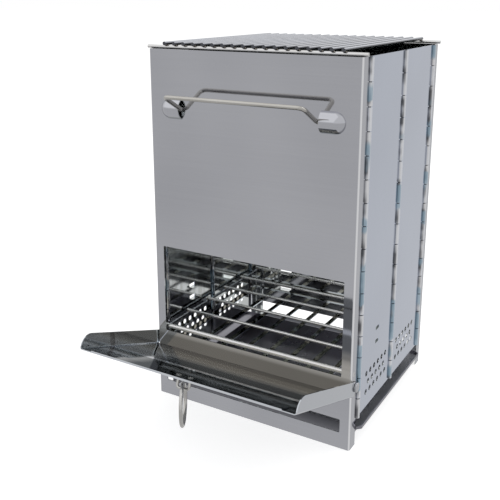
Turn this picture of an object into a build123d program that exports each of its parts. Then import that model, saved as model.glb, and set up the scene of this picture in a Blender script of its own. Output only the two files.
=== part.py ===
"""A folding wood stove of thin stainless sheet: a tall box whose two sides fold outwards like bellows.

Millimetres, +Z up, the front faces -Y, and the origin is on the ground under the middle of the box.
"""

import os
from math import cos, radians, sin, sqrt

from build123d import *

# The box
body_width = 200.0
body_depth = 190.0
body_height = 332.0
sheet = 0.8
bend_radius = 2.0  # outside radius of a folded corner
flange_depth = 11.7  # side flanges of the front and rear panels
side_foot = 24.4  # the side walls end this far above the ground

# Rolled hinges: front, middle and rear on each side
hinge_setback = 15.0  # hinge axis behind the front face, and in front of the rear face
knuckle_radius = 2.7
knuckle_count = 16
knuckle_gap = 0.8
pin_radius = 1.5
pin_play = 0.05

# Openings of the front and rear panels
window_margin = 9.5  # from an opening to the side of the panel
feed_bottom = 67.5
feed_height = 84.5
slot_bottom = 15.0
slot_height = 12.5
window_corner = 1.0

# Vent holes and lanced lugs of the side walls
vent_radius = 2.5
vent_pitch = 9.3
vent_row_pitch = 8.85
vent_top = 57.3
vent_rows = (6, 5, 6)  # holes in each row, from the top
vent_offset = 38.0  # middle of a vent field from the middle hinge
lug_heights = (78.0, 90.7)
lug_offset = 38.0  # lugs from the middle hinge
lug_width = 9.0
lug_reach = 3.5
lance_height = 3.2

# Pressed ears and the wire handle that swings in them
ear_drop = 51.0  # middle of the ears below the top edge
ear_mouth = 66.4  # the open end of an ear, from the middle
ear_half_height = 9.0
ear_rise = 6.0
ear_barrel = 12.0
handle_wire = 3.6
handle_side_play = 0.4
handle_arm = 29.0
handle_tilt = 29.0  # arms above level, degrees
handle_leg = 11.0  # bent ends that reach into the ears
handle_elbow = 3.0
handle_corner = 5.0

# Feed door, its rivets, staple and ring
door_pivot_setback = 6.5
door_pivot_height = 58.0
door_slope = 20.5  # degrees above level when it is open
door_offset = 8.2  # inside face of the plate from the pivot
door_start = 4.1  # lower edge of the plate from the pivot
door_end = 116.0  # outer edge of the plate from the pivot
door_side_play = 0.4  # cheek to flange
cheek_depth = 13.5
cheek_eye = 4.5  # round end of a cheek about its pivot
cheek_corner = 11.0
hem_width = 13.0
hem_inset = 12.0
rivet_radius = 1.5
rivet_head_radius = 4.4  # outside
rivet_tail_radius = 3.0  # inside
rivet_head = 1.2
rivet_lift = 0.3  # outer head to cheek
staple_inset = 8.0  # staple from the outer edge of the door
staple_drop = 7.5  # middle of its bar below the plate
staple_half = 5.5  # middle of a leg from the middle
staple_wire = 2.4
staple_elbow = 2.2
staple_foot = 2.2  # radius of the clinched head inside
foot_thickness = 0.6
ring_radius = 16.5
ring_wire = 3.0
ring_skew = 29.0  # how far the ring has turned from square, degrees

# Cooking grill
grill_wire = 3.2
grill_cross = 3.0
grill_count = 18
grill_pitch = 9.8
grill_cross_inset = 3.0
grill_cross_overhang = 2.5

# Wire rack
rack_rise = 3.0  # middle of the rack above the lower edge of the feed opening
rack_setback = 4.6
rack_rod_diameter = 4.5
rack_wire = 3.0
rack_first_setback = 44.0  # first cross wire behind the front face
rack_rear_setback = 6.0  # last cross wire before the rear face
rack_side_gap = 4.0
rack_wires = 5

# Slotted grate
grate_drop = 8.0  # middle of the grate below the door pivots
grate_setback = 7.5
grate_rod_diameter = 3.0
grate_thickness = 1.0
grate_side_gap = 5.0
grate_rear_setback = 10.5  # rear edge before the rear face
grate_slots = 8
grate_bar = 4.6
grate_rim = 5.0
curl_wall = 0.8

# Ash tray
tray_front_gap = 0.5
tray_rear_gap = 3.0
tray_overhang = 4.5  # wings beyond the sides
tray_pan_gap = 7.0  # pan inside the sides
tray_wing = 14.4  # underside of the wings
tray_rim = 17.2
tray_chamfer = 3.7

# Fits
seat_gap = 0.3
weld = 0.2  # how deep a welded wire sinks into the other
support_width = 14.0
support_x = 60.0
rack_support_reach = 8.0
grate_support_reach = 12.0
rod_end_gap = 0.1

# Derived places
front_y = -body_depth / 2
rear_y = body_depth / 2
half_width = body_width / 2
wall_x = half_width - sheet / 2  # middle of a side sheet, and of its hinges
front_axis_y = front_y + hinge_setback
window_width = body_width - 2 * window_margin
ear_height = body_height - ear_drop
rack_height = feed_bottom + rack_rise
grate_height = door_pivot_height - grate_drop
rear_axis_y = rear_y - hinge_setback
hinge_reach = hinge_setback - flange_depth  # a leaf is cut back this far round the other's knuckles
knuckle_pitch = (body_height - side_foot) / knuckle_count
knuckle_length = knuckle_pitch - knuckle_gap
bore_radius = pin_radius + pin_play
hinge_middle = (body_height + side_foot) / 2
pivot_y = front_y + door_pivot_setback
rack_y = front_y + rack_setback
grate_y = front_y + grate_setback
ear_radius = (ear_half_height**2 + ear_rise**2) / (2 * ear_rise)
ear_centre_y = front_y + ear_radius - ear_rise
handle_pivot_y = front_y - (ear_rise - sheet - seat_gap - handle_wire / 2)
EVEN, ODD = 0, 1


def knuckle_heights(first):
    """Middles of every second knuckle of a hinge, from number first."""
    return [side_foot + knuckle_pitch * (n + 0.5) for n in range(first, knuckle_count, 2)]


def cut_back(x, y, other):
    """Clears a sheet edge where the other leaf has its knuckles."""
    with Locations(*[(x, y, z) for z in knuckle_heights(other)]):
        Box(2 * knuckle_radius, 2 * hinge_reach, knuckle_pitch + knuckle_gap, mode=Mode.SUBTRACT)


def roll_knuckles(x, y, own):
    """Rolled barrels on a sheet edge, bored for the pin."""
    with Locations(*[(x, y, z) for z in knuckle_heights(own)]):
        Cylinder(knuckle_radius, knuckle_length)
    with Locations((x, y, hinge_middle)):
        Cylinder(bore_radius, body_height, mode=Mode.SUBTRACT)


def cut_leaf(x, y, own, other):
    """Makes one hinge leaf of a channel's edge: short at the foot, with every second knuckle."""
    with Locations((x, y, side_foot / 2)):
        Box(2 * knuckle_radius, 2 * hinge_reach, side_foot, mode=Mode.SUBTRACT)
    cut_back(x, y, other)
    roll_knuckles(x, y, own)


def turn_ear(side, radius, mode=Mode.ADD):
    """A barrel with a round outer end, sunk in the panel: side is -1 left or 1 right."""
    mouth = side * ear_mouth
    end = side * (ear_mouth + ear_barrel)
    front = ear_centre_y - radius
    with BuildSketch(Plane.XY.offset(ear_height)) as profile:
        with BuildLine():
            Polyline((mouth, ear_centre_y), (mouth, front), (end, front))
            RadiusArc((end, front), (end + side * radius, ear_centre_y), -side * radius)
            Line((end + side * radius, ear_centre_y), (mouth, ear_centre_y))
        make_face()
    revolve(profile.sketch, axis=Axis((0, ear_centre_y, ear_height), (1, 0, 0)), mode=mode)


def finish(piece, name):
    """Names a finished piece and writes it."""
    piece.label = name
    export_step(piece, f"parts/{name}.step")


os.makedirs("parts", exist_ok=True)

# Front panel: a channel with the feed opening, the ash slot and two pressed ears
with BuildPart() as front_panel:
    for side in (-1, 1):
        turn_ear(side, ear_radius)
    with Locations((0, front_y + sheet + ear_radius, ear_height)):
        Box(body_width, 2 * ear_radius, 2 * ear_radius, mode=Mode.SUBTRACT)
    with BuildSketch(Plane.XY):
        with BuildLine():
            FilletPolyline(
                (-wall_x, front_axis_y),
                (-wall_x, front_y + sheet / 2),
                (wall_x, front_y + sheet / 2),
                (wall_x, front_axis_y),
                radius=bend_radius - sheet / 2,
            )
        trace(line_width=sheet)
    extrude(amount=body_height)
    for side in (-1, 1):
        turn_ear(side, ear_radius - sheet, Mode.SUBTRACT)
    with BuildSketch(Plane.XZ.offset(-front_y)):
        with Locations((0, feed_bottom + feed_height / 2)):
            RectangleRounded(window_width, feed_height, window_corner)
        with Locations((0, slot_bottom + slot_height / 2)):
            RectangleRounded(window_width, slot_height, window_corner)
    extrude(amount=-bend_radius, mode=Mode.SUBTRACT)
    for side in (-1, 1):
        cut_leaf(side * wall_x, front_axis_y, EVEN, ODD)
    with BuildSketch(Plane.YZ):
        with Locations((pivot_y, door_pivot_height)):
            Circle(rivet_radius + pin_play)
        with Locations((rack_y, rack_height)):
            Circle(rack_rod_diameter / 2 + pin_play)
        with Locations((grate_y, grate_height)):
            Circle(grate_rod_diameter / 2 + pin_play)
    extrude(amount=body_width, both=True, mode=Mode.SUBTRACT)
finish(front_panel.part, "front_panel")

# Rear panel: the same channel with an ash slot and lanced supports for the rack and the grate
rack_seat = rack_height - rack_wire / 2 - seat_gap
grate_seat = grate_height - grate_thickness / 2 - seat_gap
with BuildPart() as rear_panel:
    with BuildSketch(Plane.XY):
        with BuildLine():
            FilletPolyline(
                (-wall_x, rear_axis_y),
                (-wall_x, rear_y - sheet / 2),
                (wall_x, rear_y - sheet / 2),
                (wall_x, rear_axis_y),
                radius=bend_radius - sheet / 2,
            )
        trace(line_width=sheet)
    extrude(amount=body_height)
    with BuildSketch(Plane.XZ.offset(-rear_y)):
        with Locations((0, slot_bottom + slot_height / 2)):
            RectangleRounded(window_width, slot_height, window_corner)
        for seat in (rack_seat, grate_seat):
            with Locations((-support_x, seat + lance_height / 2), (support_x, seat + lance_height / 2)):
                Rectangle(support_width, lance_height)
    extrude(amount=bend_radius, mode=Mode.SUBTRACT)
    for seat, reach in ((rack_seat, rack_support_reach), (grate_seat, grate_support_reach)):
        support_y = rear_y - (reach + sheet) / 2
        support_z = seat - sheet / 2
        with Locations((-support_x, support_y, support_z), (support_x, support_y, support_z)):
            Box(support_width, reach + sheet, sheet)
    for side in (-1, 1):
        cut_leaf(side * wall_x, rear_axis_y, ODD, EVEN)
finish(rear_panel.part, "rear_panel")


def side_half(side, end):
    """One half of a side wall: side is -1 left or 1 right, end is -1 front or 1 rear."""
    x = side * wall_x
    outer_y = end * (body_depth / 2 - hinge_setback)
    # The front half has the odd knuckles outside and the even ones at the middle; the rear half the reverse.
    outer_own, outer_other = (ODD, EVEN) if end < 0 else (EVEN, ODD)
    inner_own, inner_other = (EVEN, ODD) if end < 0 else (ODD, EVEN)
    with BuildPart() as half:
        with Locations((x, outer_y / 2, hinge_middle)):
            Box(sheet, abs(outer_y), body_height - side_foot)
        cut_back(x, outer_y, outer_other)
        cut_back(x, 0, inner_other)
        roll_knuckles(x, outer_y, outer_own)
        roll_knuckles(x, 0, inner_own)
        with BuildSketch(Plane.YZ):
            for row, holes in enumerate(vent_rows):
                with Locations((end * vent_offset, vent_top - row * vent_row_pitch)):
                    with GridLocations(vent_pitch, 1, holes, 1):
                        Circle(vent_radius)
            if end < 0:
                with Locations(*[(-lug_offset, z + lance_height / 2) for z in lug_heights]):
                    Rectangle(lug_width, lance_height)
        extrude(amount=side * body_width, mode=Mode.SUBTRACT)
        if end < 0:
            lug_x = side * (half_width - (lug_reach + sheet) / 2)
            with Locations(*[(lug_x, -lug_offset, z - sheet / 2) for z in lug_heights]):
                Box(lug_reach + sheet, lug_width, sheet)
    return half.part


# Side walls and the hinge pins
for side, side_name in ((-1, "left"), (1, "right")):
    for end, end_name in ((-1, "front"), (1, "rear")):
        finish(side_half(side, end), f"side_{side_name}_{end_name}")
    for axis_y, place in ((front_axis_y, "front"), (0, "middle"), (rear_axis_y, "rear")):
        with BuildPart() as pin:
            with Locations((side * wall_x, axis_y, hinge_middle)):
                Cylinder(pin_radius, body_height - side_foot)
        finish(pin.part, f"pin_{side_name}_{place}")

# Feed door, drawn on a plane through its pivots: x across, y along the plate, z through it to its outside
slope = radians(door_slope)
pivot = Vector(0, pivot_y, door_pivot_height)
along = Vector(0, -cos(slope), sin(slope))
through = Vector(0, -sin(slope), -cos(slope))
door_plane = Plane(origin=pivot, x_dir=(1, 0, 0), z_dir=through)
door_half = half_width + door_side_play + sheet
plate_outside = door_offset + sheet
cheek_top = plate_outside - cheek_depth
eye_low = cheek_eye * sqrt(0.5)
staple_y = door_end - staple_inset
door_section = Plane(origin=pivot - along * cheek_eye, x_dir=(1, 0, 0), z_dir=along)
door_side = Plane(origin=pivot - Vector(door_half, 0, 0), x_dir=along, z_dir=(1, 0, 0))
with BuildPart() as feed_door:
    with BuildSketch(door_section):
        with BuildLine():
            FilletPolyline(
                (-door_half + sheet / 2, -cheek_top),
                (-door_half + sheet / 2, -plate_outside + sheet / 2),
                (door_half - sheet / 2, -plate_outside + sheet / 2),
                (door_half - sheet / 2, -cheek_top),
                radius=bend_radius - sheet / 2,
            )
        trace(line_width=sheet)
    extrude(amount=door_end + cheek_eye)
    with BuildSketch(door_side):
        with BuildLine():
            Polyline((-eye_low, eye_low), (door_start, plate_outside), (door_end, plate_outside))
            Line((door_end, plate_outside), (door_end, cheek_top + cheek_corner))
            TangentArc(
                (door_end, cheek_top + cheek_corner),
                (door_end - cheek_corner, cheek_top),
                tangent=(0, -1),
            )
            Line((door_end - cheek_corner, cheek_top), (0, -cheek_eye))
            ThreePointArc((0, -cheek_eye), (-cheek_eye, 0), (-eye_low, eye_low))
        make_face()
    extrude(amount=2 * door_half, mode=Mode.INTERSECT)
    with BuildSketch(door_plane):
        with Locations((0, (door_start - 2 * cheek_eye) / 2)):
            Rectangle(2 * (door_half - sheet), door_start + 2 * cheek_eye)
    extrude(amount=2 * plate_outside, mode=Mode.SUBTRACT)
    with BuildSketch(door_plane.offset(door_offset - sheet)):
        with Locations((0, door_end - hem_width / 2)):
            Rectangle(2 * (door_half - hem_inset), hem_width)
    extrude(amount=sheet)
    with BuildSketch(door_plane):
        with Locations((-staple_half, staple_y), (staple_half, staple_y)):
            Circle(staple_wire / 2 + pin_play)
    extrude(amount=2 * plate_outside, mode=Mode.SUBTRACT)
    with BuildSketch(Plane.YZ):
        with Locations((pivot_y, door_pivot_height)):
            Circle(rivet_radius + pin_play)
    extrude(amount=body_width, both=True, mode=Mode.SUBTRACT)
finish(feed_door.part, "feed_door")

# Door rivets: a pivot through each cheek and flange
rivet_out = door_half + rivet_lift
rivet_in = half_width - sheet
with BuildPart() as rivets:
    for side in (-1, 1):
        with Locations((side * (rivet_in + rivet_out) / 2, pivot_y, door_pivot_height)):
            Cylinder(rivet_radius, rivet_out - rivet_in, rotation=(0, 90, 0))
        with Locations((side * (rivet_out + rivet_head / 2), pivot_y, door_pivot_height)):
            Cylinder(rivet_head_radius, rivet_head, rotation=(0, 90, 0))
        with Locations((side * (rivet_in - rivet_head / 2), pivot_y, door_pivot_height)):
            Cylinder(rivet_tail_radius, rivet_head, rotation=(0, 90, 0))
finish(rivets.part, "door_rivets")

# Staple: a bent wire through the hem, its ends clinched inside
bar_z = plate_outside + staple_drop
inner_face = door_offset - sheet
staple_plane = Plane(origin=pivot + along * staple_y, x_dir=(1, 0, 0), z_dir=through)
with BuildPart() as ring_staple:
    with BuildLine(Plane(origin=pivot + along * staple_y, x_dir=(1, 0, 0), z_dir=along)) as bow:
        FilletPolyline(
            (-staple_half, -inner_face),
            (-staple_half, -bar_z),
            (staple_half, -bar_z),
            (staple_half, -inner_face),
            radius=staple_elbow,
        )
    with BuildSketch(Plane(origin=bow.line @ 0, z_dir=bow.line % 0)):
        Circle(staple_wire / 2)
    sweep()
    with BuildSketch(staple_plane.offset(inner_face - foot_thickness)):
        with Locations((-staple_half, 0), (staple_half, 0)):
            Circle(staple_foot)
    extrude(amount=foot_thickness)
finish(ring_staple.part, "ring_staple")

# Pull ring, hanging plumb from the staple's bar
bar = pivot + along * staple_y + through * bar_z
ring_centre = bar - Vector(0, 0, ring_radius - (ring_wire + staple_wire) / 2 - seat_gap)
skew = radians(ring_skew)
ring_plane = Plane(origin=ring_centre, x_dir=(0, 0, 1), z_dir=(cos(skew), sin(skew), 0))
with BuildPart(ring_plane) as pull_ring:
    Torus(ring_radius, ring_wire / 2)
finish(pull_ring.part, "pull_ring")

# Carrying handle: a bent wire whose ends stand in the ears
tilt = radians(handle_tilt)
arm_x = ear_mouth - handle_side_play - handle_wire / 2
grip_y = handle_pivot_y - handle_arm * cos(tilt)
grip_z = ear_height + handle_arm * sin(tilt)
leg_x = arm_x + handle_leg
with BuildPart() as carry_handle:
    with BuildLine() as bow:
        FilletPolyline(
            (-leg_x, handle_pivot_y, ear_height),
            (-arm_x, handle_pivot_y, ear_height),
            (-arm_x, grip_y, grip_z),
            (arm_x, grip_y, grip_z),
            (arm_x, handle_pivot_y, ear_height),
            (leg_x, handle_pivot_y, ear_height),
            radius=(handle_elbow, handle_corner, handle_corner, handle_elbow),
        )
    with BuildSketch(Plane(origin=bow.line @ 0, z_dir=bow.line % 0)):
        Circle(handle_wire / 2)
    sweep()
finish(carry_handle.part, "carry_handle")

# Cooking grill: long wires welded on two cross wires that lie on the top edges
cross_z = body_height + seat_gap + grill_cross / 2
bars_z = cross_z + grill_cross / 2 + grill_wire / 2 - weld
with BuildPart() as grill_bars:
    with Locations((0, 0, bars_z)):
        with GridLocations(grill_pitch, 1, grill_count, 1):
            Cylinder(grill_wire / 2, body_depth, rotation=(90, 0, 0))
finish(grill_bars.part, "grill_bars")

with BuildPart() as grill_cross_wires:
    for end in (-1, 1):
        with Locations((0, end * (body_depth / 2 - grill_cross_inset), cross_z)):
            Cylinder(grill_cross / 2, body_width + 2 * grill_cross_overhang, rotation=(0, 90, 0))
finish(grill_cross_wires.part, "grill_cross_wires")

# Wire rack: cross wires on two carriers, hung on a rod between the front flanges
rod_length = body_width - 2 * rod_end_gap
with BuildPart() as rack_rod:
    with Locations((0, rack_y, rack_height)):
        Cylinder(rack_rod_diameter / 2, rod_length, rotation=(0, 90, 0))
finish(rack_rod.part, "rack_rod")

rack_half = half_width - rack_side_gap
rack_first_y = front_y + rack_first_setback
rack_pitch = (rear_y - rack_rear_setback - rack_first_y) / (rack_wires - 1)
rack_wire_y = [rack_first_y + n * rack_pitch for n in range(rack_wires)]
with BuildPart() as rack_cross_wires:
    with Locations(*[(0, y, rack_height) for y in rack_wire_y]):
        Cylinder(rack_wire / 2, 2 * rack_half, rotation=(0, 90, 0))
finish(rack_cross_wires.part, "rack_cross_wires")

carrier_x = rack_half - rack_wire / 2
carrier_length = rack_wire_y[-1] - rack_y
carrier_z = rack_height - rack_wire + weld
with BuildPart() as rack_carriers:
    with Locations(*[(side * carrier_x, rack_y + carrier_length / 2, carrier_z) for side in (-1, 1)]):
        Cylinder(rack_wire / 2, carrier_length, rotation=(90, 0, 0))
finish(rack_carriers.part, "rack_carriers")

# Slotted grate: a plate curled round its rod at the front
curl_radius = grate_rod_diameter / 2 + pin_play + curl_wall
grate_half = half_width - grate_side_gap
grate_length = rear_y - grate_rear_setback - grate_y
with BuildPart() as slotted_grate:
    with Locations((0, grate_y + grate_length / 2, grate_height)):
        Box(2 * grate_half, grate_length, grate_thickness)
    with Locations((0, grate_y, grate_height)):
        Cylinder(curl_radius, 2 * grate_half, rotation=(0, 90, 0))
        Cylinder(curl_radius - curl_wall, body_width, rotation=(0, 90, 0), mode=Mode.SUBTRACT)
    slot_pitch = 2 * (grate_half - grate_bar) / grate_slots
    slot_start = grate_y + curl_radius + grate_rim
    slot_end = grate_y + grate_length - grate_rim
    with BuildSketch(Plane.XY.offset(grate_height - grate_thickness)):
        with Locations((0, (slot_start + slot_end) / 2)):
            with GridLocations(slot_pitch, 1, grate_slots, 1):
                Rectangle(slot_pitch - grate_bar, slot_end - slot_start)
    extrude(amount=2 * grate_thickness, mode=Mode.SUBTRACT)
finish(slotted_grate.part, "slotted_grate")

with BuildPart() as grate_rod:
    with Locations((0, grate_y, grate_height)):
        Cylinder(grate_rod_diameter / 2, rod_length, rotation=(0, 90, 0))
finish(grate_rod.part, "grate_rod")

# Ash tray: a pan on the ground whose wings reach out under the side walls
tray_front = front_y + flange_depth + tray_front_gap
tray_rear = rear_y - flange_depth - tray_rear_gap
tray_length = tray_rear - tray_front
tray_half = half_width + tray_overhang
tray_pan_half = half_width - tray_pan_gap
tray_middle = (tray_front + tray_rear) / 2
with BuildPart() as ash_tray:
    with BuildSketch(Plane.XY.offset(tray_wing)) as rim:
        with Locations((0, tray_middle)):
            Rectangle(2 * tray_half, tray_length)
        chamfer(rim.vertices(), length=tray_chamfer)
    extrude(amount=tray_rim - tray_wing)
    with BuildSketch(Plane.XY):
        with Locations((0, tray_middle)):
            Rectangle(2 * tray_pan_half, tray_length)
    extrude(amount=tray_wing + sheet)
    with BuildSketch(Plane.XY.offset(tray_wing + sheet)) as hollow:
        with Locations((0, tray_middle)):
            Rectangle(2 * (tray_half - sheet), tray_length - 2 * sheet)
        chamfer(hollow.vertices(), length=tray_chamfer)
    extrude(amount=tray_rim, mode=Mode.SUBTRACT)
    with BuildSketch(Plane.XY.offset(sheet)):
        with Locations((0, tray_middle)):
            Rectangle(2 * (tray_pan_half - sheet), tray_length - 2 * sheet)
    extrude(amount=tray_rim, mode=Mode.SUBTRACT)
finish(ash_tray.part, "ash_tray")
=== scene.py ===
# %% [markdown]
# # A folding wood stove, dressed in Blender
# The stove is a tall box of thin stainless sheet. Its two sides are bellows that turn on long rolled hinges,
# wood goes in over a hopper door at the front, and a wire grill on top takes the pan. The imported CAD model
# already has every piece at its real size and place, so this lesson adds what CAD leaves out: the finishes,
# the small rounded forms of welds and rivet heads, the studio and the camera.

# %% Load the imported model
import math

import bmesh
import bpy
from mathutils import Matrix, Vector

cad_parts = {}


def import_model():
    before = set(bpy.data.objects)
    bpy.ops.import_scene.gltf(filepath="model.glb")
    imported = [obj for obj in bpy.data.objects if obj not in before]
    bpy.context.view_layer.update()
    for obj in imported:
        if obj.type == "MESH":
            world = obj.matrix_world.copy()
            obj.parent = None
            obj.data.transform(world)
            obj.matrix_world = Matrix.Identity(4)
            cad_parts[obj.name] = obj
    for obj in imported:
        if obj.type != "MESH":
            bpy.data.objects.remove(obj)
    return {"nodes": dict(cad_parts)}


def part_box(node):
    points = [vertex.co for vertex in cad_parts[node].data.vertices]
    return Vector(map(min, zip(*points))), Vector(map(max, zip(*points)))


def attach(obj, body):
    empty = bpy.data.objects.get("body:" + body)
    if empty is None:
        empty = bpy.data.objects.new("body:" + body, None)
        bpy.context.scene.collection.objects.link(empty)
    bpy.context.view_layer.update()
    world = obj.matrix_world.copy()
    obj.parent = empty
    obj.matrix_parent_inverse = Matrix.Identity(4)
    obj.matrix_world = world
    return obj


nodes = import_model()["nodes"]
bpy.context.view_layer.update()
MM = 0.001

# %% [markdown]
# ## Small helpers for materials
# Colours are chosen as screen colours, the hex codes of any paint program, and shaders want them linear, so
# one function turns them over. Another adds a node: its inputs take either a value or the output of another
# node, which it links. With these two a material reads from top to bottom like a recipe. Pattern scales
# come from real sizes in millimetres.


# %% Colour and node helpers
def linear(code):
    """The linear colour of an sRGB hex code such as #97989c."""
    shares = [int(code[i : i + 2], 16) / 255 for i in (1, 3, 5)]
    return [v / 12.92 if v <= 0.04045 else ((v + 0.055) / 1.055) ** 2.4 for v in shares] + [1.0]


def add(tree, kind, inputs=None, **settings):
    """A node of that kind: inputs by name or number, each a value or another node's output."""
    made = tree.nodes.new("ShaderNode" + kind)
    for name, value in settings.items():
        setattr(made, name, value)
    for key, value in (inputs or {}).items():
        if isinstance(value, bpy.types.NodeSocket):
            tree.links.new(value, made.inputs[key])
        else:
            made.inputs[key].default_value = value
    return made


def per_mm(size):
    """The texture scale at which one feature is about that many millimetres wide."""
    return 1 / (size * MM)


def blank(name):
    """A new material with an empty node tree, and that tree."""
    made = bpy.data.materials.new(name)
    made.use_nodes = True
    made.node_tree.nodes.clear()
    return made, made.node_tree


print("a mid grey, linear:", [round(v, 3) for v in linear("#97989c")])

# %% [markdown]
# ## Bright annealed stainless sheet
# The walls are 0.8 mm stainless, rolled and then annealed in hydrogen, which leaves it almost a mirror. The
# eye sees a plain grey only because the studio around it is plain: the handle, the door and every wire show
# in it a second time. So it is a metal with a low roughness. What keeps it from looking like paint is small:
# the sheet is never quite flat, the rolls leave fine lines along it, and handling leaves soft smudges.
#
# The finish is put together from parts, and the first is the outside. It has two close tones in clouds
# about a hand wide, with a little of the rolling lines. Real rolling lines are finer than 0.1 mm, so they
# are drawn 1.2 mm apart to show at all. The folded corners of the box get a painted highlight. A fold is
# found by its normal, which lies between X and Y there, and a limit on X leaves out the round ears of
# the handle.

# %% Outside of a sheet
CLOUD_MM = 110
LINE_MM = 1.2
LINE_SHARE = 0.16
CORNER_X = 94 * MM


def outside_tone(tree, place, lines, tint, blotch):
    """Two close tones in large soft clouds, crossed by the rolling lines."""
    clouds = add(tree, "TexNoise", {"Vector": place, "Scale": per_mm(CLOUD_MM), "Detail": 1.0})
    shade = add(tree, "Mix", {0: LINE_SHARE, 2: clouds.outputs["Fac"], 3: lines})
    colours = {0: shade.outputs[0], 6: linear(tint), 7: linear(blotch)}
    return add(tree, "Mix", colours, data_type="RGBA").outputs[2]


def painted_bend_highlight(tree, spots, tone):
    """Paints a highlight on the folded corners of the box, a near white mixed into the tone."""
    way = add(tree, "SeparateXYZ", {"Vector": spots["Normal"]}).outputs
    right = add(tree, "SeparateXYZ", {"Vector": spots["Object"]}).outputs["X"]
    slant = add(tree, "Math", {0: way["X"], 1: way["Y"]}, operation="MULTIPLY").outputs[0]
    slant = add(tree, "Math", {0: slant}, operation="ABSOLUTE").outputs[0]
    far = add(tree, "Math", {0: right}, operation="ABSOLUTE").outputs[0]
    corner = add(tree, "Math", {0: far, 1: CORNER_X}, operation="GREATER_THAN").outputs[0]
    slant = add(tree, "Math", {0: slant, 1: corner}, operation="MULTIPLY").outputs[0]
    # painted highlight: the share of near white on the corners, from the slant of the normal
    bend = add(tree, "MapRange", {0: slant, 1: 0.2, 2: 0.45, 3: 0.0, 4: 0.8}).outputs["Result"]
    return add(tree, "Mix", {0: bend, 6: tone, 7: linear("#f0f0f2")}, data_type="RGBA").outputs[2]


print("tint in clouds of", CLOUD_MM, "mm, bright bends beyond", round(CORNER_X / MM), "mm from the middle")

# %% [markdown]
# ### Painted highlight, painted shade and film at the hinges
# The rolled barrels get a painted highlight along their middle and a painted shade beside them, where the
# gap to the flange falls dark, and here and there is a rest of the blue film that protected the sheet in the
# factory. The hinge axes lie 80 mm apart, so the distance to the nearest one comes from wrapping Y at that
# pitch. Each mark is a band at its own distance.

# %% Hinge marks
HINGE_PITCH = 80 * MM
FILM_MM, GAP_SHADE_MM = 28, 14


def from_hinge(tree, place):
    """The distance along Y to the nearest hinge axis, negative in front of it."""
    depth = add(tree, "SeparateXYZ", {"Vector": place}).outputs["Y"]
    ends = {0: depth, 1: HINGE_PITCH / 2, 2: -HINGE_PITCH / 2}
    return add(tree, "Math", ends, operation="WRAP").outputs[0]


def patches(tree, place, size, edges, shares=(0.0, 1.0)):
    """A share that changes in soft patches of that many millimetres."""
    noise = add(tree, "TexNoise", {"Vector": place, "Scale": per_mm(size), "Detail": 1.0}).outputs["Fac"]
    values = {0: noise, 1: edges[0], 2: edges[1], 3: shares[0], 4: shares[1]}
    return add(tree, "MapRange", values).outputs["Result"]


def hinge_film_and_painted_light(tree, place, offset, tone):
    """Lays painted highlight, painted shade and film on the tone. In mm: each band's middle, full and
    fade-out.
    """
    film = patches(tree, place, FILM_MM, (0.52, 0.57), (0.0, 0.7))
    gap_shade = patches(tree, place, GAP_SHADE_MM, (0.38, 0.6), (0.2, 0.85))
    for colour, middle, full, none, share in (
        # painted highlight along the middle of each barrel
        ("#e6e7ea", 0.3, 0.7, 1.3, 0.85),
        # painted shade in the dark gap beside each barrel, in soft patches
        ("#3a3b3f", -2.6, 0.4, 1.3, gap_shade),
        ("#8fa9ba", -1.6, 1.2, 1.8, film),
    ):
        away = add(tree, "Math", {0: offset, 1: -middle * MM}, operation="ADD").outputs[0]
        away = add(tree, "Math", {0: away}, operation="ABSOLUTE").outputs[0]
        band = add(tree, "MapRange", {0: away, 1: full * MM, 2: none * MM, 3: share, 4: 0.0})
        colours = {0: band.outputs["Result"], 6: tone, 7: linear(colour)}
        tone = add(tree, "Mix", colours, data_type="RGBA").outputs[2]
    return tone


print("hinge marks every", round(HINGE_PITCH / MM), "mm")

# %% [markdown]
# ### The inside
# The side that faces into the box is painted in its own tones, on the box's sheets lighter than the outside
# to stand in for the light that reaches in. A surface faces in where its normal points back at the middle of
# the box. The barrels are left out, because they are round and belong to the outside. The same limit leaves
# one bright line across the door's plate, where the wood rubs over it.

# %% Inside of a sheet
BOX_MIDDLE = (0.0, 0.0, 166 * MM)
BARREL_HALF = 2.9 * MM


def faces_in(tree, spots, offset):
    """1 where a surface faces the middle of the box and isn't on a hinge barrel, else 0."""
    outward = add(tree, "VectorMath", {0: spots["Object"], 1: BOX_MIDDLE}, operation="SUBTRACT")
    pair = {0: outward.outputs["Vector"], 1: spots["Normal"]}
    facing = add(tree, "VectorMath", pair, operation="DOT_PRODUCT").outputs["Value"]
    inner = add(tree, "Math", {0: facing, 1: 0.0}, operation="LESS_THAN").outputs[0]
    barrel = add(tree, "Math", {0: offset}, operation="ABSOLUTE").outputs[0]
    flat = add(tree, "Math", {0: barrel, 1: BARREL_HALF}, operation="GREATER_THAN").outputs[0]
    return add(tree, "Math", {0: inner, 1: flat}, operation="MULTIPLY").outputs[0]


print("the middle of the box is", round(BOX_MIDDLE[2] / MM), "mm up")

# %% [markdown]
# ### The fired plate of the door
# The open door lies in front of the fire. Its plate has a darker brownish band next to the opening, partly
# a straw heat tint and partly painted shade for the dark reflection there, and soot on its outer half. The
# two upright cheeks are painted lighter, a painted reflection. A metal seen at a low angle mirrors almost
# everything, whatever its colour, so soot in the base colour alone would vanish there. The Specular Tint
# of the shader sets how strong this edge reflection is, and the soot lowers it too, except at the plate's
# left end.

# %% Door plate
SOOT_STARTS, SOOT_FULL = -124 * MM, -140 * MM
CLEAN_UNTIL, SOOTY_FROM = -64 * MM, -46 * MM


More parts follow.
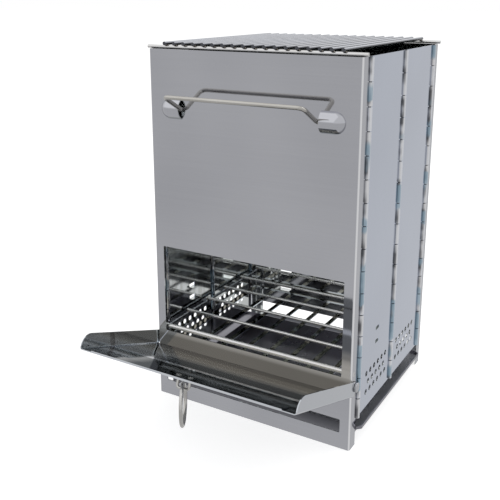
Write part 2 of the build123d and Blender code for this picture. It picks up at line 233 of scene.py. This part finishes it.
def heat_soot_and_painted_light(tree, spots, tone):
    """Straw tint with painted shade near the fire, soot further out, painted reflection on the cheeks."""
    out = add(tree, "SeparateXYZ", {"Vector": spots["Object"]}).outputs["Y"]
    sideways = add(tree, "SeparateXYZ", {"Vector": spots["Normal"]}).outputs["X"]
    steep = add(tree, "Math", {0: sideways}, operation="ABSOLUTE").outputs[0]
    for colour, value, none, full in (
        # partly straw heat tint, partly painted shade: the band at the opening stands in for a dark
        # reflection
        ("#827e74", out, -112 * MM, -106 * MM),
        ("#6c6e70", out, SOOT_STARTS, SOOT_FULL),
        # painted reflection: the upright cheeks are lightened toward near white
        ("#e6eef6", steep, 0.5, 0.8),
    ):
        cover = add(tree, "MapRange", {0: value, 1: none, 2: full, 3: 0.0, 4: 1.0})
        colours = {0: cover.outputs["Result"], 6: tone, 7: linear(colour)}
        tone = add(tree, "Mix", colours, data_type="RGBA").outputs[2]
    return tone


def sooty_edge(tree, place, inner):
    """The tint of the edge reflection: white where clean, and grey on the soot."""
    spot = add(tree, "SeparateXYZ", {"Vector": place}).outputs
    share = inner
    for value, none, full in ((spot["Y"], SOOT_STARTS, SOOT_FULL), (spot["X"], CLEAN_UNTIL, SOOTY_FROM)):
        cover = add(tree, "MapRange", {0: value, 1: none, 2: full, 3: 0.0, 4: 1.0}).outputs["Result"]
        share = add(tree, "Math", {0: share, 1: cover}, operation="MULTIPLY").outputs[0]
    colours = {0: share, 6: linear("#ffffff"), 7: linear("#a6a9ab")}
    return add(tree, "Mix", colours, data_type="RGBA").outputs[2]


print("soot from", round(-SOOT_STARTS / MM), "mm in front of the middle")

# %% [markdown]
# ### The whole sheet
# Now the parts come together. The inside has two tones in bands along the rolling direction. The shine is
# uneven where smudges and lines meet, and waves about 70 mm long bend the reflections by a hair. Three
# sheets are made: the panels, rolled crosswise, the sides, rolled upright and painted a little lighter and
# bluer for the brighter light that falls on them, and the sheet of the door and the grate, which has no
# hinge marks.

# %% Sheet finishes
BAND_MM, SMUDGE_MM, WAVE_MM = 9, 26, 70
WAVE_DEPTH = 0.06 * MM


def sheet_steel(name, outside, inside, roughness, stretch, hinged=True, fired=False):
    """Bright annealed sheet. The rolling lines run along the small axis of stretch."""
    made, tree = blank(name)
    spots = add(tree, "TexCoord").outputs
    place = spots["Object"]
    along = add(tree, "Mapping", {"Vector": place, "Scale": stretch}).outputs["Vector"]
    lines = add(tree, "TexNoise", {"Vector": along, "Scale": per_mm(LINE_MM), "Detail": 2.0})
    lines = lines.outputs["Fac"]
    offset = from_hinge(tree, place)
    inner = faces_in(tree, spots, offset)

    tone = outside_tone(tree, place, lines, *outside)
    if hinged:
        tone = hinge_film_and_painted_light(tree, place, offset, painted_bend_highlight(tree, spots, tone))
    bands = patches(tree, along, BAND_MM, (0.4, 0.6))
    colours = {0: bands, 6: linear(inside[0]), 7: linear(inside[1])}
    inside_tone = add(tree, "Mix", colours, data_type="RGBA").outputs[2]
    if fired:
        inside_tone = heat_soot_and_painted_light(tree, spots, inside_tone)
    # painted light: faces into the box take the inside tone, lighter on the box's sheets for the light
    # inside
    tone = add(tree, "Mix", {0: inner, 6: tone, 7: inside_tone}, data_type="RGBA").outputs[2]

    smudge = add(tree, "TexNoise", {"Vector": place, "Scale": per_mm(SMUDGE_MM), "Detail": 3.0})
    marks = add(tree, "Math", {0: smudge.outputs["Fac"], 1: lines}, operation="MULTIPLY").outputs[0]
    rough = add(tree, "MapRange", {0: marks, 1: 0.12, 2: 0.42, 3: roughness, 4: roughness + 0.03})
    waves = add(tree, "TexNoise", {"Vector": place, "Scale": per_mm(WAVE_MM), "Detail": 1.0})
    bump = add(tree, "Bump", {"Height": waves.outputs["Fac"], "Distance": WAVE_DEPTH, "Strength": 1.0})
    values = {
        "Base Color": tone,
        "Metallic": 1.0,
        "Roughness": rough.outputs["Result"],
        "Normal": bump.outputs["Normal"],
    }
    if fired:
        values["Specular Tint"] = sooty_edge(tree, place, inner)
    shader = add(tree, "BsdfPrincipled", values)
    add(tree, "OutputMaterial", {"Surface": shader.outputs["BSDF"]})
    return made


UPRIGHT = (1.0, 1.0, 0.008)
CROSSWISE = (0.008, 1.0, 1.0)
# painted light: the inside of the box is lighter than the outside, for the light that reaches in
BOX_INSIDE_PAINTED_LIGHTER = ("#cfd3d3", "#bdc0bf")
PLATE_INSIDE = ("#cac6bb", "#a39f95")
panel_steel = sheet_steel("bright_annealed_panel", ("#bdbec3", "#9fa0a6"), BOX_INSIDE_PAINTED_LIGHTER, 0.05, CROSSWISE)
# painted light: the sides are a lighter, bluer copy of the panel sheet, for the brighter light on them
side_steel = sheet_steel("bright_annealed_side", ("#bfc5d2", "#b1b6c2"), BOX_INSIDE_PAINTED_LIGHTER, 0.06, UPRIGHT)
plate_steel = sheet_steel(
    "bright_annealed_plate",
    ("#bcbfc4", "#b0b3b8"),
    PLATE_INSIDE,
    0.05,
    CROSSWISE,
    hinged=False,
    fired=True,
)
print("sheet finishes:", panel_steel.name, side_steel.name, plate_steel.name)

# %% [markdown]
# ## Drawn stainless wire
# The grill, the rack, the handle and the ring are drawn wire: pulled through a die, which leaves it bright
# with fine scratches along its length. It shines more softly than the sheet, so its roughness is higher.
# Near the welds the steel has taken a faint straw colour, which large soft noise mixes in. The long wires of
# the grill get painted shade on their flanks, and their tops keep the bright tone. The die lines are drawn
# 0.4 mm wide, several times their real width, and still show only as a soft unevenness.


# %% Wire finishes
def drawn_wire(name, bright, straw, roughness, stretch, share=0.5, flank_shade=0.0):
    """Drawn wire: die lines along the small axis of stretch, straw tint on part, painted shade on flanks if
    set.
    """
    made, tree = blank(name)
    spots = add(tree, "TexCoord").outputs
    place = spots["Object"]
    along = add(tree, "Mapping", {"Vector": place, "Scale": stretch}).outputs["Vector"]
    heat = add(tree, "TexNoise", {"Vector": place, "Scale": per_mm(30), "Detail": 2.0}).outputs["Fac"]
    lines = add(tree, "TexNoise", {"Vector": along, "Scale": per_mm(0.4), "Detail": 3.0}).outputs["Fac"]
    spread = add(tree, "MapRange", {0: heat, 1: 0.35, 2: 0.75, 3: 0.0, 4: share}).outputs["Result"]
    colours = {0: spread, 6: linear(bright), 7: linear(straw)}
    tone = add(tree, "Mix", colours, data_type="RGBA").outputs[2]
    if flank_shade:
        # painted shade: the flanks, whose normal turns away from up, are darkened
        up = add(tree, "SeparateXYZ", {"Vector": spots["Normal"]}).outputs["Z"]
        flank = add(tree, "MapRange", {0: up, 1: 0.72, 2: 0.42, 3: 0.0, 4: flank_shade}).outputs["Result"]
        colours = {0: flank, 6: tone, 7: linear("#3a3b40")}
        tone = add(tree, "Mix", colours, data_type="RGBA").outputs[2]
    rough = add(tree, "MapRange", {0: lines, 1: 0.3, 2: 0.7, 3: roughness, 4: roughness + 0.12})
    bump = add(tree, "Bump", {"Height": lines, "Distance": 0.01 * MM, "Strength": 0.5})
    values = {
        "Base Color": tone,
        "Metallic": 1.0,
        "Roughness": rough.outputs["Result"],
        "Normal": bump.outputs["Normal"],
    }
    shader = add(tree, "BsdfPrincipled", values)
    add(tree, "OutputMaterial", {"Surface": shader.outputs["BSDF"]})
    return made


FORE_AND_AFT = (1.0, 0.02, 1.0)
EVERY_WAY = (1.0, 1.0, 1.0)
grill_wire = drawn_wire("drawn_wire_grill", "#b9bcc4", "#aeaeb0", 0.12, FORE_AND_AFT, flank_shade=0.9)
cross_wire = drawn_wire("drawn_wire_cross", "#c8c8c9", "#b6b3ad", 0.14, CROSSWISE)
handle_steel = drawn_wire("drawn_wire_handle", "#b0aeaa", "#9b9791", 0.18, CROSSWISE)
ring_steel = drawn_wire("drawn_wire_ring", "#b4b3b1", "#a19c95", 0.16, EVERY_WAY)
rivet_steel = drawn_wire("upset_rivet", "#b9babd", "#a6a6a8", 0.2, EVERY_WAY)
pin_steel = drawn_wire("sooty_pin", "#5c5d62", "#4a4a4e", 0.3, UPRIGHT)
weld_steel = drawn_wire("heat_tinted_weld", "#a8a196", "#7d7469", 0.3, EVERY_WAY, share=1.0)
print("wire finishes:", grill_wire.name, handle_steel.name, rivet_steel.name, pin_steel.name)

# %% [markdown]
# ## The dark tray
# The ash tray is the one dark piece. Its steel has been blued by heat, so it is still a metal, but a dark
# one with a broad soft shine. Light scratches run front to back, the way the tray slides.


# %% Tray finish
def blued_steel(name, dark, light):
    """Heat-blued sheet with sliding scratches from front to back."""
    made, tree = blank(name)
    place = add(tree, "TexCoord").outputs["Object"]
    along = add(tree, "Mapping", {"Vector": place, "Scale": FORE_AND_AFT}).outputs["Vector"]
    clouds = add(tree, "TexNoise", {"Vector": place, "Scale": per_mm(40), "Detail": 4.0}).outputs["Fac"]
    scratches = add(tree, "TexNoise", {"Vector": along, "Scale": per_mm(1.5), "Detail": 2.0})
    worn = add(tree, "MapRange", {0: scratches.outputs["Fac"], 1: 0.62, 2: 0.8, 3: 0.0, 4: 0.6})
    tone = add(tree, "Mix", {0: clouds, 6: linear(dark), 7: linear(light)}, data_type="RGBA").outputs[2]
    colours = {0: worn.outputs["Result"], 6: tone, 7: linear("#8d8d92")}
    tone = add(tree, "Mix", colours, data_type="RGBA").outputs[2]
    rough = add(tree, "MapRange", {0: clouds, 1: 0.3, 2: 0.7, 3: 0.24, 4: 0.36}).outputs["Result"]
    shader = add(tree, "BsdfPrincipled", {"Base Color": tone, "Metallic": 1.0, "Roughness": rough})
    add(tree, "OutputMaterial", {"Surface": shader.outputs["BSDF"]})
    return made


tray_steel = blued_steel("heat_blued_tray", "#7b7b83", "#8c8b91")
print("tray finish:", tray_steel.name)

# %% [markdown]
# ## Give each CAD piece its finish
# A CAD node keeps its mesh and its place. Only its material slots change, so the pieces stay exactly where
# the joints expect them.

# %% Assign the finishes
finishes = {
    "front_panel": panel_steel,
    "rear_panel": panel_steel,
    "feed_door": plate_steel,
    "slotted_grate": plate_steel,
    "door_rivets": rivet_steel,
    "ring_staple": ring_steel,
    "pull_ring": ring_steel,
    "carry_handle": handle_steel,
    "grill_bars": grill_wire,
    "grill_cross_wires": cross_wire,
    "rack_rod": cross_wire,
    "rack_cross_wires": cross_wire,
    "rack_carriers": grill_wire,
    "grate_rod": cross_wire,
    "ash_tray": tray_steel,
}
for side in ("left", "right"):
    for end in ("front", "rear"):
        finishes[f"side_{side}_{end}"] = side_steel
    for place in ("front", "middle", "rear"):
        finishes[f"pin_{side}_{place}"] = pin_steel
for name, piece in nodes.items():
    piece.data.materials.clear()
    piece.data.materials.append(finishes[name])
print("finished", len(finishes), "of", len(nodes), "nodes")

# %% [markdown]
# ## Small rounded forms
# Two kinds of detail are round in a way that CAD leaves out. A spot weld squeezes a little metal out at each
# crossing of two wires, and a rivet's head is a dome. Both are built in mesh code: a dome is a short profile
# turned about its axis, and a weld is the same dome laid over a crossing. One function makes them all.


# %% Domes for rivets and welds
def dome_rings(radius, height, rings=5):
    """Radius and height of each ring of a flattened dome, from its rim to just under its top."""
    angles = [math.pi / 2 * n / rings for n in range(rings)]
    return [(radius * math.cos(a), height * math.sin(a)) for a in angles]


def add_dome(mesh, place, axis, radius, height, stretch=1.0, steps=20):
    """Adds a closed dome to a bmesh: its base at place, its top along axis, longer along Y by stretch."""
    turn = Vector(axis).to_track_quat("Z", "Y").to_matrix().to_4x4()
    rings = []
    for r, h in dome_rings(radius, height):
        ring = []
        for n in range(steps):
            a = 2 * math.pi * n / steps
            local = turn @ Vector((r * math.cos(a), r * math.sin(a), h))
            ring.append(mesh.verts.new(Vector(place) + Vector((local.x, local.y * stretch, local.z))))
        rings.append(ring)
    top = mesh.verts.new(Vector(place) + turn @ Vector((0, 0, height)))
    for low, high in zip(rings, rings[1:]):
        for n in range(steps):
            mesh.faces.new((low[n], low[(n + 1) % steps], high[(n + 1) % steps], high[n]))
    for n in range(steps):
        mesh.faces.new((rings[-1][n], rings[-1][(n + 1) % steps], top))
    mesh.faces.new(list(reversed(rings[0])))


def piece_from(mesh, name, material, body):
    """Turns a bmesh into a shown piece that rides on a body."""
    for face in mesh.faces:
        face.smooth = True
    data = bpy.data.meshes.new(name)
    mesh.to_mesh(data)
    mesh.free()
    made = bpy.data.objects.new(name, data)
    bpy.context.scene.collection.objects.link(made)
    data.materials.append(material)
    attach(made, body)
    return made


print("a dome has", len(dome_rings(1, 1)), "rings")

# %% [markdown]
# ### Rivet heads
# The door turns on two rivets. Their outer heads are the round buttons just above the corners of the door.
# Each dome starts a little inside the flat CAD head, so no gap shows under its rim.

# %% Rivet heads
HEAD_RISE, HEAD_SINK = 0.9 * MM, 0.05 * MM
rivet_low, rivet_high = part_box("door_rivets")
rivet_middle = (rivet_low + rivet_high) / 2
head_radius = (rivet_high.y - rivet_low.y) / 2
heads = bmesh.new()
for side, x in ((-1, rivet_low.x), (1, rivet_high.x)):
    spot = (x - side * HEAD_SINK, rivet_middle.y, rivet_middle.z)
    add_dome(heads, spot, (side, 0, 0), head_radius, HEAD_RISE)
piece_from(heads, "door_rivet_heads", rivet_steel, "front")
print("rivet heads of radius", round(head_radius / MM, 2), "mm")

# %% [markdown]
# ### Welds
# The grill's long wires are welded onto the two cross wires, so each crossing has a small bead on both
# flanks. The rack has the same beads where its cross wires lie on the carriers. The places come from the
# boxes of the wires and their number, and a bead sits 1 mm to the side of the middle of its crossing.

# %% Welds
BAR_COUNT = 18
RACK_WIRES = 5
BEAD = {"radius": 0.9 * MM, "height": 0.8 * MM, "steps": 12}
BEAD_ASIDE = 1.0 * MM

bars_low, bars_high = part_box("grill_bars")
cross_low, cross_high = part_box("grill_cross_wires")
wire_radius = (bars_high.z - bars_low.z) / 2
bar_pitch = (bars_high.x - bars_low.x - 2 * wire_radius) / (BAR_COUNT - 1)
cross_radius = (cross_high.z - cross_low.z) / 2
beads = bmesh.new()
for n in range(BAR_COUNT):
    x = bars_low.x + wire_radius + n * bar_pitch
    for y in (cross_low.y + cross_radius, cross_high.y - cross_radius):
        for side in (-1, 1):
            spot = (x + side * BEAD_ASIDE, y, cross_high.z - 0.5 * MM)
            add_dome(beads, spot, (side * 0.8, 0, 0.6), stretch=1.3, **BEAD)
piece_from(beads, "grill_welds", weld_steel, "grill")

rack_low, rack_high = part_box("rack_cross_wires")
carrier_low, carrier_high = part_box("rack_carriers")
rack_radius = (rack_high.z - rack_low.z) / 2
rack_pitch = (rack_high.y - rack_low.y - 2 * rack_radius) / (RACK_WIRES - 1)
beads = bmesh.new()
for n in range(RACK_WIRES):
    y = rack_low.y + rack_radius + n * rack_pitch
    for x in (carrier_low.x + rack_radius, carrier_high.x - rack_radius):
        for side in (-1, 1):
            spot = (x, y + side * BEAD_ASIDE, rack_low.z + 0.2 * MM)
            add_dome(beads, spot, (0, side * 0.8, -0.6), **BEAD)
piece_from(beads, "rack_welds", weld_steel, "rack")
print("welds:", BAR_COUNT * 4, "on the grill,", RACK_WIRES * 4, "on the rack")

# %% [markdown]
# ## Studio
# A mirror is only as good as what it reflects. Product photographs of bright steel are made in a white tent,
# so the world is white to the camera and to reflections, and only gently bright to rough surfaces, which
# keeps the lamps in charge of the shadow. The floor does the same. The camera sees it white, with part of
# that brightness lit, so the stove still shades it. In mirrors it is a shade darker than the tent, as paper
# on a table is, and this is what lets a rounded form such as a handle's ear show its underside.

# %% World and floor
SOFT_LIGHT = 0.55
FLOOR_LIFT = 0.72
FLOOR_IN_MIRRORS = 0.75
FLOOR_HALF, FLOOR_DROP = 20.0, 0.2 * MM


def reflected(tree):
    """The Light Path outputs, and a value that is 1 for rays by mirror or glass."""
    rays = add(tree, "LightPath").outputs
    pair = {0: rays["Is Glossy Ray"], 1: rays["Is Transmission Ray"]}
    return rays, add(tree, "Math", pair, operation="MAXIMUM").outputs[0]


scene = bpy.context.scene
scene.view_settings.view_transform = "Standard"
world = bpy.data.worlds.new("white_tent")
scene.world = world
world.use_nodes = True
tree = world.node_tree
tree.nodes.clear()
rays, mirrored = reflected(tree)
seen = add(tree, "Math", {0: rays["Is Camera Ray"], 1: mirrored}, operation="MAXIMUM").outputs[0]
level = add(tree, "MapRange", {0: seen, 1: 0.0, 2: 1.0, 3: SOFT_LIGHT, 4: 1.0}).outputs["Result"]
glow = add(tree, "Background", {"Color": linear("#ffffff"), "Strength": level})
add(tree, "OutputWorld", {"Surface": glow.outputs["Background"]})

floor_finish, tree = blank("white_floor")
rays, mirrored = reflected(tree)
paper = add(tree, "BsdfDiffuse", {"Color": linear("#d8d8d8")})
lift = add(tree, "Math", {0: rays["Is Camera Ray"], 1: FLOOR_LIFT}, operation="MULTIPLY").outputs[0]
shine = add(tree, "Emission", {"Color": linear("#ffffff"), "Strength": lift})
lit = add(tree, "AddShader", {0: paper.outputs["BSDF"], 1: shine.outputs["Emission"]})
image = add(tree, "Emission", {"Color": linear("#ffffff"), "Strength": FLOOR_IN_MIRRORS})
both = add(tree, "MixShader", {0: mirrored, 1: lit.outputs["Shader"], 2: image.outputs["Emission"]})
add(tree, "OutputMaterial", {"Surface": both.outputs["Shader"]})

sheet = bmesh.new()
corners = [(-1, -1), (1, -1), (1, 1), (-1, 1)]
sheet.faces.new([sheet.verts.new((x * FLOOR_HALF, y * FLOOR_HALF, -FLOOR_DROP)) for x, y in corners])
floor_data = bpy.data.meshes.new("floor")
sheet.to_mesh(floor_data)
sheet.free()
floor = bpy.data.objects.new("floor", floor_data)
floor_data.materials.append(floor_finish)
scene.collection.objects.link(floor)
print("the floor is", round(2 * FLOOR_HALF), "m wide")

# %% [markdown]
# ## Lamps
# Two large soft boxes, one above and to the left of the camera and one from the right and behind, draw soft
# highlights on wires and rolled edges. They are large and weak on purpose: a small strong lamp would show
# as a hard spot in every flat wall. The walls themselves face the floor and the tent, and stay plain.


# %% Soft boxes
def soft_box(name, place, target, size, power):
    """A square area lamp aimed at a point."""
    lamp = bpy.data.lights.new(name, "AREA")
    lamp.shape = "SQUARE"
    lamp.size = size
    lamp.energy = power
    made = bpy.data.objects.new(name, lamp)
    made.location = place
    made.rotation_euler = (Vector(target) - Vector(place)).to_track_quat("-Z", "Y").to_euler()
    scene.collection.objects.link(made)
    return made


STOVE_MIDDLE = (0.0, 0.0, 0.17)
soft_box("key_box", (-0.9, -1.1, 1.6), STOVE_MIDDLE, 3.0, 8)
soft_box("back_box", (1.1, 0.9, 1.4), STOVE_MIDDLE, 1.6, 9)

# %% [markdown]
# ## Camera
# The photograph was taken from the right of the stove, a hand above its top, with a level camera and the
# lens shifted far down, so its uprights stay nearly parallel. A shift that large would push the stove out of
# the frame in every other view, because those keep the shift of this camera. So most of it is traded for a
# camera that looks down a little. The place, the turn and the lens are a fit to the corners of the box and
# their places in the photograph with this shift, and the uprights converge slightly.

# %% Camera
CAMERA_PLACE = Vector((305.8, -616.7, 374.9)) * MM
YAW = math.radians(30.2)
PITCH = math.radians(14.6)
lens = bpy.data.cameras.new("camera")
lens.sensor_width = 36.0
lens.lens = 53.22
lens.shift_y = -0.12
lens.clip_start = 0.01
lens.clip_end = 50.0
camera = bpy.data.objects.new("camera", lens)
camera.location = CAMERA_PLACE
camera.rotation_euler = (math.pi / 2 - PITCH, 0.0, YAW)
scene.collection.objects.link(camera)
scene.camera = camera
print("camera at", [round(v, 3) for v in camera.location])
